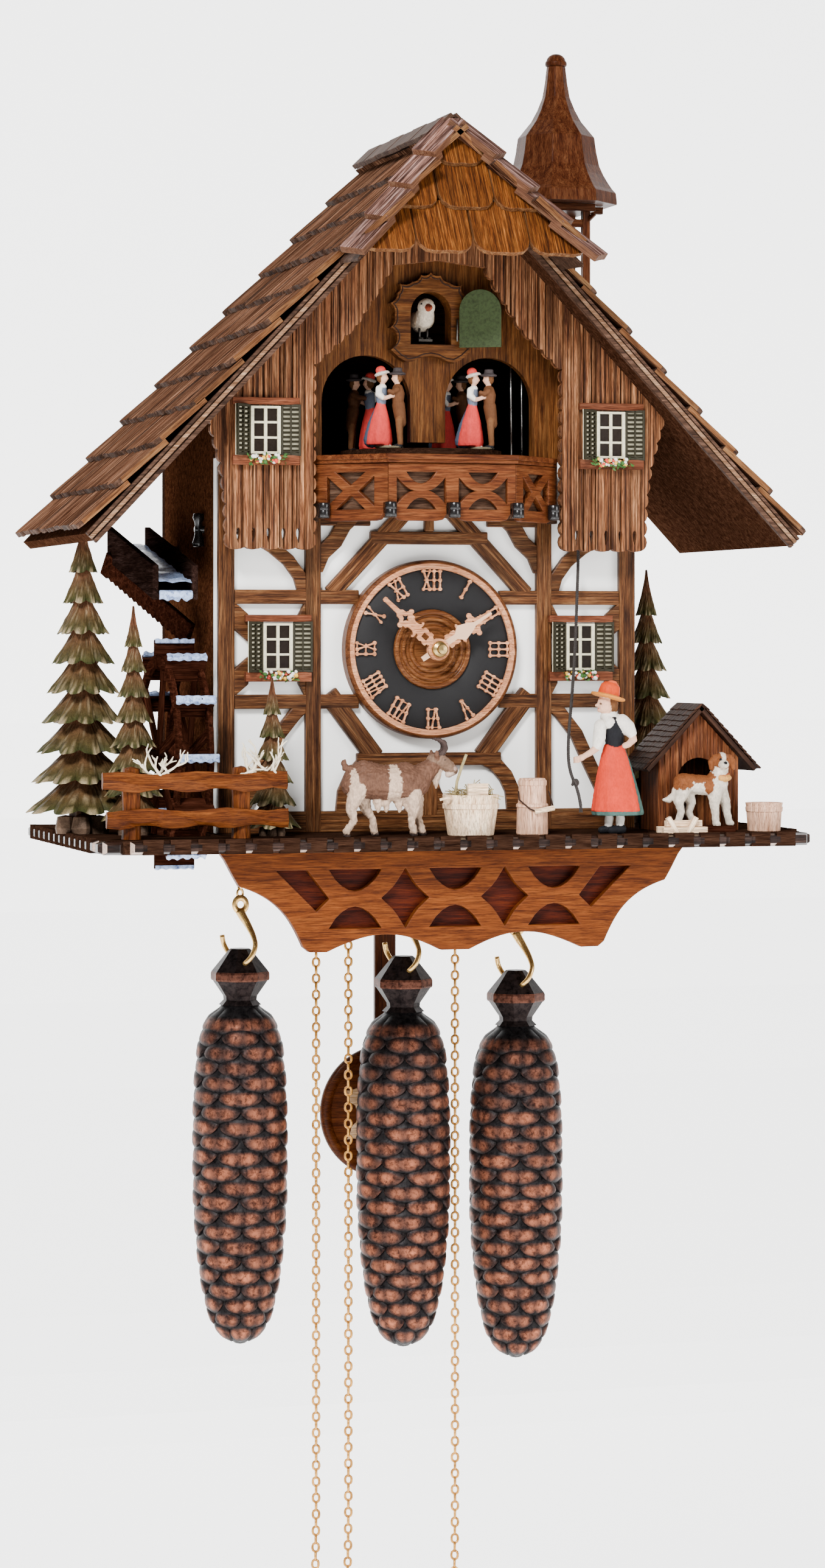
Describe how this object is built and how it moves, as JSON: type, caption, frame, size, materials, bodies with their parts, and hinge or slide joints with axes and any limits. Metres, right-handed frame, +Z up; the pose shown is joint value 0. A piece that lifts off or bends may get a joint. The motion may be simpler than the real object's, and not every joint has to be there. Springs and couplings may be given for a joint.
{
  "type": "cuckoo clock",
  "caption": "Wall-hung chalet cuckoo clock with shingled roof, dancing stage, water wheel, yard figures, pendulum and pinecone weights on chains.",
  "frame": {"origin": "centre of the hanger hole on the wall side of the back panel", "axes": "+Z up, the dial faces -Y, +X to the right seen from the front"},
  "size_m": [0.377, 0.2056, 0.863],
  "materials": {
    "case_wood": "satin",
    "white_panel": "matt",
    "beam_wood": "satin",
    "gable_wood": "weathered",
    "stage_wood": "satin",
    "base_wood": "satin",
    "apron_wood": "satin",
    "backing_wood": "satin",
    "roof_wood": "stained",
    "shingle_wood": "weathered",
    "turret_wood": "satin",
    "balcony_wood": "satin",
    "window_paint": "satin",
    "dial_wood": "satin",
    "hand_wood": "satin",
    "brass": "polished",
    "steel": "brushed",
    "bellows_wood": "satin",
    "pendulum_wood": "satin",
    "figure_paint": "matt",
    "door_paint": "painted",
    "dancer_paint": "satin",
    "wheel_wood": "satin",
    "fir_wood": "carved",
    "fence_wood": "split",
    "tub_wood": "satin",
    "kennel_wood": "satin",
    "rope": "braided",
    "iron_copper": "antiqued",
    "chain_brass": "polished",
    "lever_black": "gloss",
    "skin_paint": "matt"
  },
  "bodies": {
    "case": {"case_walls": "case_wood", "back_panel": "case_wood", "front_wall": "white_panel", "timber_frame": "beam_wood", "gable_board": "gable_wood", "stage_front": "stage_wood", "base_board": "base_wood", "skirt_board": "apron_wood", "skirt_backing": "backing_wood", "roof_boards": "roof_wood", "roof_shingles": "shingle_wood", "turret": "turret_wood", "balcony": "balcony_wood", "windows": "window_paint", "dial": "dial_wood", "movement_plates": "brass", "bellows": "bellows_wood", "music_movement": "steel", "water_chute": "wheel_wood", "fir_trees": "fir_wood", "fence": "fence_wood", "goat": "figure_paint", "tubs": "tub_wood", "kennel": "kennel_wood", "dog": "figure_paint", "bell_ringer": "figure_paint"},
    "minute_train": {"minute_hand": "hand_wood", "center_arbor": "brass"},
    "hour": {"hour_hand": "hand_wood"},
    "motion_wheel": {"minute_wheel": "brass"},
    "third": {"third_wheel": "brass"},
    "escape": {"escape_wheel": "brass"},
    "anchor": {"anchor": "steel"},
    "pendulum": {"pendulum": "pendulum_wood"},
    "cuckoo": {"cuckoo_bird": "figure_paint"},
    "cuckoo_door": {"cuckoo_door": "door_paint"},
    "turntable": {"turntable": "wheel_wood", "dancers": "dancer_paint"},
    "water_wheel": {"water_wheel": "wheel_wood"},
    "turret_bell": {"turret_bell": "brass"},
    "bell_rope": {"bell_rope": "rope"},
    "ringer_arm": {"ringer_arm": "skin_paint"},
    "shutoff_lever": {"shutoff_lever": "lever_black"},
    "bellows_top_left": {"bellows_top_left": "bellows_wood"},
    "bellows_top_right": {"bellows_top_right": "bellows_wood"},
    "weight_left": {"weight_left": "iron_copper", "weight_chain_left": "chain_brass"},
    "free_chain_left": {"free_chain_left": "chain_brass", "chain_hank_left": "chain_brass"},
    "chain_wheel_left": {"chain_wheel_left": "brass"},
    "weight_center": {"weight_center": "iron_copper", "weight_chain_center": "chain_brass"},
    "free_chain_center": {"free_chain_center": "chain_brass", "chain_hank_center": "chain_brass"},
    "chain_wheel_center": {"chain_wheel_center": "brass"},
    "weight_right": {"weight_right": "iron_copper", "weight_chain_right": "chain_brass"},
    "free_chain_right": {"free_chain_right": "chain_brass", "chain_hank_right": "chain_brass"},
    "chain_wheel_right": {"chain_wheel_right": "brass"}
  },
  "joints": [
    {"name": "minute_hand_turn", "type": "hinge", "parent": "case", "child": "minute_train", "pos_m": [0, -0.14, -0.15], "axis": [0, 1, 0], "continuous": true},
    {"name": "hour_hand_turn", "type": "hinge", "parent": "case", "child": "hour", "pos_m": [0, -0.138, -0.15], "axis": [0, 1, 0], "continuous": true},
    {"name": "motion_wheel_turn", "type": "hinge", "parent": "case", "child": "motion_wheel", "pos_m": [0.016, -0.104, -0.15], "axis": [0, 1, 0], "continuous": true},
    {"name": "third_wheel_turn", "type": "hinge", "parent": "case", "child": "third", "pos_m": [0.012, -0.08, -0.1308], "axis": [0, 1, 0], "continuous": true},
    {"name": "escape_wheel_turn", "type": "hinge", "parent": "case", "child": "escape", "pos_m": [0, -0.062, -0.1143], "axis": [0, 1, 0], "continuous": true},
    {"name": "pendulum_swing", "type": "hinge", "parent": "case", "child": "pendulum", "pos_m": [0, -0.043, -0.095], "axis": [0, 1, 0], "range_deg": [-4, 4]},
    {"name": "anchor_rock", "type": "hinge", "parent": "case", "child": "anchor", "pos_m": [0, -0.06, -0.095], "axis": [0, 1, 0], "range_deg": [-4, 4]},
    {"name": "cuckoo_slide", "type": "slide", "parent": "case", "child": "cuckoo", "axis": [0, 1, 0], "range_m": [0, 0.024]},
    {"name": "cuckoo_door_swing", "type": "hinge", "parent": "case", "child": "cuckoo_door", "pos_m": [0.0129, -0.1298, 0.01], "axis": [0, 0, 1], "range_deg": [-150, 0]},
    {"name": "turntable_turn", "type": "hinge", "parent": "case", "child": "turntable", "pos_m": [0, -0.11, -0.055], "axis": [0, 0, 1], "continuous": true},
    {"name": "water_wheel_turn", "type": "hinge", "parent": "case", "child": "water_wheel", "pos_m": [-0.1235, -0.102, -0.2013], "axis": [1, 0, 0], "continuous": true},
    {"name": "bell_rope_pull", "type": "slide", "parent": "case", "child": "bell_rope", "axis": [0, 0, -1], "range_m": [0, 0.005]},
    {"name": "ringer_arm_pull", "type": "hinge", "parent": "case", "child": "ringer_arm", "pos_m": [0.071, -0.177, -0.1865], "axis": [0, 1, 0], "range_deg": [-27, 0]},
    {"name": "turret_bell_swing", "type": "hinge", "parent": "case", "child": "turret_bell", "pos_m": [0.0868, -0.06, 0.068], "axis": [0, 1, 0], "range_deg": [-25, 25]},
    {"name": "shutoff_lever_turn", "type": "hinge", "parent": "case", "child": "shutoff_lever", "pos_m": [-0.105, -0.0945, -0.091], "axis": [1, 0, 0], "range_deg": [-30, 30]},
    {"name": "bellows_left_lift", "type": "hinge", "parent": "case", "child": "bellows_top_left", "pos_m": [-0.085, -0.048, -0.08], "axis": [-1, 0, 0], "range_deg": [0, 10]},
    {"name": "bellows_right_lift", "type": "hinge", "parent": "case", "child": "bellows_top_right", "pos_m": [0.085, -0.048, -0.08], "axis": [-1, 0, 0], "range_deg": [0, 10]},
    {"name": "weight_left_drop", "type": "slide", "parent": "case", "child": "weight_left", "axis": [0, 0, -1], "range_m": [0, 0.06]},
    {"name": "free_chain_left_rise", "type": "slide", "parent": "case", "child": "free_chain_left", "axis": [0, 0, 1], "range_m": [0, 0.06]},
    {"name": "chain_wheel_left_turn", "type": "hinge", "parent": "case", "child": "chain_wheel_left", "pos_m": [-0.06295, -0.07, -0.185], "axis": [0, 1, 0], "range_deg": [-260, 260]},
    {"name": "weight_center_drop", "type": "slide", "parent": "case", "child": "weight_center", "axis": [0, 0, -1], "range_m": [0, 0.06]},
    {"name": "free_chain_center_rise", "type": "slide", "parent": "case", "child": "free_chain_center", "axis": [0, 0, 1], "range_m": [0, 0.06]},
    {"name": "chain_wheel_center_turn", "type": "hinge", "parent": "case", "child": "chain_wheel_center", "pos_m": [-0.0121, -0.07, -0.185], "axis": [0, 1, 0], "range_deg": [-260, 260]},
    {"name": "weight_right_drop", "type": "slide", "parent": "case", "child": "weight_right", "axis": [0, 0, -1], "range_m": [0, 0.06]},
    {"name": "free_chain_right_rise", "type": "slide", "parent": "case", "child": "free_chain_right", "axis": [0, 0, 1], "range_m": [0, 0.06]},
    {"name": "chain_wheel_right_turn", "type": "hinge", "parent": "case", "child": "chain_wheel_right", "pos_m": [0.0458, -0.07, -0.185], "axis": [0, 1, 0], "range_deg": [-260, 260]}
  ],
  "couplings": [
    {"joint": "hour_hand_turn", "follows": "minute_hand_turn", "ratio": 0.083333},
    {"joint": "motion_wheel_turn", "follows": "minute_hand_turn", "ratio": -0.33333},
    {"joint": "third_wheel_turn", "follows": "minute_hand_turn", "ratio": -7.5},
    {"joint": "escape_wheel_turn", "follows": "minute_hand_turn", "ratio": 60},
    {"joint": "anchor_rock", "follows": "pendulum_swing", "ratio": 1},
    {"joint": "cuckoo_door_swing", "follows": "cuckoo_slide", "rad_per_m": -109},
    {"joint": "ringer_arm_pull", "follows": "bell_rope_pull", "rad_per_m": -90},
    {"joint": "turret_bell_swing", "follows": "bell_rope_pull", "rad_per_m": 80},
    {"joint": "free_chain_left_rise", "follows": "weight_left_drop", "ratio": 1},
    {"joint": "chain_wheel_left_turn", "follows": "weight_left_drop", "rad_per_m": -50.891},
    {"joint": "free_chain_center_rise", "follows": "weight_center_drop", "ratio": 1},
    {"joint": "chain_wheel_center_turn", "follows": "weight_center_drop", "rad_per_m": 69.444},
    {"joint": "free_chain_right_rise", "follows": "weight_right_drop", "ratio": 1},
    {"joint": "chain_wheel_right_turn", "follows": "weight_right_drop", "rad_per_m": 61.728}
  ]
}
